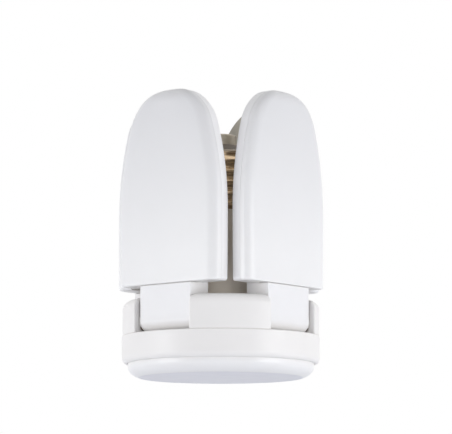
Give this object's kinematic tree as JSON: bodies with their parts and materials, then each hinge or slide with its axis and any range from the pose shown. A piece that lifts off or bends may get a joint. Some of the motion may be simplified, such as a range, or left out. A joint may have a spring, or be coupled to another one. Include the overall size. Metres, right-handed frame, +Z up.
{
  "type": "folding screw-in lamp",
  "caption": "Screw-in LED lamp: round base with a frosted lens, and frosted blades that stand round the cap and fold outwards.",
  "frame": {"origin": "centre of the cap's end contact, where it meets the lampholder", "axes": "+Z up along the screw cap's axis, into the lampholder; -Y to the picture's front, between the front_left and front_right blades"},
  "size_m": [0.0662, 0.0662, 0.0918],
  "materials": {
    "contact_metal": "satin plated contact",
    "insulator": "dark moulded insulator",
    "shell_metal": "nickel plated rolled shell",
    "white_housing": "fine satin moulded white plastic",
    "milky_housing": "satin milky white plastic",
    "frosted_lens": "frosted milky diffuser",
    "steel": "zinc plated steel",
    "aluminium": "bare sheet",
    "led_board": "white solder mask on an aluminium core",
    "led": "yellow phosphor in a white cup",
    "circuit_board": "green solder mask",
    "can_sleeve": "shrink sleeve",
    "component_yellow": "moulded box",
    "copper_winding": "enamelled copper on a ferrite core",
    "component_black": "moulded package",
    "component_tan": "ceramic body",
    "lead_red": "insulated wire",
    "lead_black": "insulated wire",
    "lead_white": "sheathed twin wire"
  },
  "bodies": {
    "base": {"centre_contact": "contact_metal", "cap_insulator": "insulator", "screw_shell": "shell_metal", "neck_housing": "white_housing", "neck_screws": "steel", "hinge_carrier": "white_housing", "hinge_retainer": "white_housing", "retainer_screws": "steel", "bezel_ring": "white_housing", "centre_lens": "frosted_lens", "centre_heat_plate": "aluminium", "centre_led_board": "led_board", "centre_leds": "led", "centre_board_screws": "steel", "driver_board": "circuit_board", "smoothing_capacitor": "can_sleeve", "line_capacitor": "component_yellow", "line_choke": "copper_winding", "bridge_rectifier": "component_black", "fuse_resistor": "component_tan", "driver_chip": "component_black", "live_lead": "lead_red", "neutral_lead": "lead_black", "centre_lead": "lead_red", "pivot_leads": "lead_white"},
    "front_left_blade": {"front_left_lens": "frosted_lens", "front_left_housing": "milky_housing", "front_left_led_board": "led_board", "front_left_leds": "led", "front_left_board_screws": "steel", "front_left_washers": "steel", "front_left_lead": "lead_white"},
    "front_right_blade": {"front_right_lens": "frosted_lens", "front_right_housing": "milky_housing", "front_right_led_board": "led_board", "front_right_leds": "led", "front_right_board_screws": "steel", "front_right_washers": "steel", "front_right_lead": "lead_white"},
    "back_right_blade": {"back_right_lens": "frosted_lens", "back_right_housing": "milky_housing", "back_right_led_board": "led_board", "back_right_leds": "led", "back_right_board_screws": "steel", "back_right_washers": "steel", "back_right_lead": "lead_white"},
    "back_left_blade": {"back_left_lens": "frosted_lens", "back_left_housing": "milky_housing", "back_left_led_board": "led_board", "back_left_leds": "led", "back_left_board_screws": "steel", "back_left_washers": "steel", "back_left_lead": "lead_white"}
  },
  "joints": [
    {"name": "front_left_fold", "type": "hinge", "parent": "base", "child": "front_left_blade", "pos_m": [-0.01754, -0.01754, -0.0626], "axis": [0.7071, -0.7071, 0], "range_deg": [0, 90]},
    {"name": "front_right_fold", "type": "hinge", "parent": "base", "child": "front_right_blade", "pos_m": [0.01754, -0.01754, -0.0626], "axis": [0.7071, 0.7071, 0], "range_deg": [0, 90]},
    {"name": "back_right_fold", "type": "hinge", "parent": "base", "child": "back_right_blade", "pos_m": [0.01754, 0.01754, -0.0626], "axis": [-0.7071, 0.7071, 0], "range_deg": [0, 90]},
    {"name": "back_left_fold", "type": "hinge", "parent": "base", "child": "back_left_blade", "pos_m": [-0.01754, 0.01754, -0.0626], "axis": [-0.7071, -0.7071, 0], "range_deg": [0, 90]}
  ]
}
